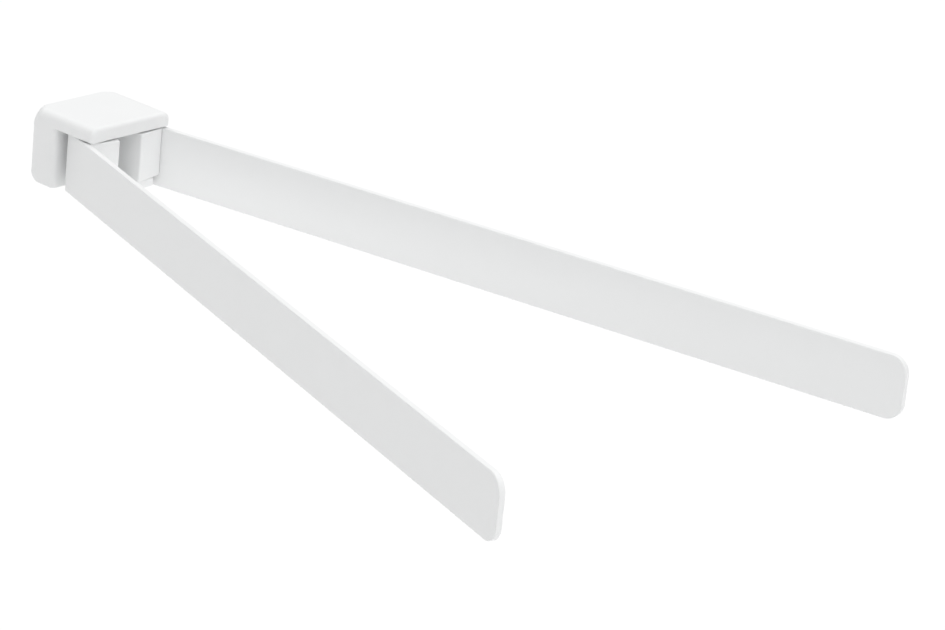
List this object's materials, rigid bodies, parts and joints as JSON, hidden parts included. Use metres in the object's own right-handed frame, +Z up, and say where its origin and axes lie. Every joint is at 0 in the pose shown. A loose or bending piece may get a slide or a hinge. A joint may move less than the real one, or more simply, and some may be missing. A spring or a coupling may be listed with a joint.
{
  "type": "swing arm towel bar",
  "caption": "Wall-mounted towel holder with flat bars that swing sideways on upright pivots under the hood of a small wall block.",
  "frame": {"origin": "centre of the wall plate's back, on the plane of the wall", "axes": "+Y into the wall, so the arms stand out along -Y; +Z up; +X to the right for someone who faces the wall"},
  "size_m": [0.246, 0.4393, 0.0378],
  "materials": {
    "white_paint": "satin white powder coat",
    "zinc_plate": "zinc plated sheet steel",
    "screw_steel": "stainless, as turned",
    "spring_steel": "spring steel, plain",
    "bush_plastic": "natural acetal, matte"
  },
  "bodies": {
    "wall_block": {"housing": "white_paint", "wall_plate": "zinc_plate", "lock_screw": "screw_steel", "left_pivot_screw": "screw_steel", "left_wave_washer": "spring_steel", "left_thrust_washer": "spring_steel", "right_pivot_screw": "screw_steel", "right_wave_washer": "spring_steel", "right_thrust_washer": "spring_steel"},
    "left_arm": {"left_bar": "white_paint", "left_knuckle": "white_paint", "left_lower_rivet": "white_paint", "left_upper_rivet": "white_paint", "left_lower_bush": "bush_plastic", "left_upper_bush": "bush_plastic"},
    "right_arm": {"right_bar": "white_paint", "right_knuckle": "white_paint", "right_lower_rivet": "white_paint", "right_upper_rivet": "white_paint", "right_lower_bush": "bush_plastic", "right_upper_bush": "bush_plastic"}
  },
  "joints": [
    {"name": "left_swing", "type": "hinge", "parent": "wall_block", "child": "left_arm", "pos_m": [-0.012, -0.0285, 0], "axis": [0, 0, -1], "range_deg": [-19, 71]},
    {"name": "right_swing", "type": "hinge", "parent": "wall_block", "child": "right_arm", "pos_m": [0.012, -0.0285, 0], "axis": [0, 0, 1], "range_deg": [-9, 81]}
  ]
}
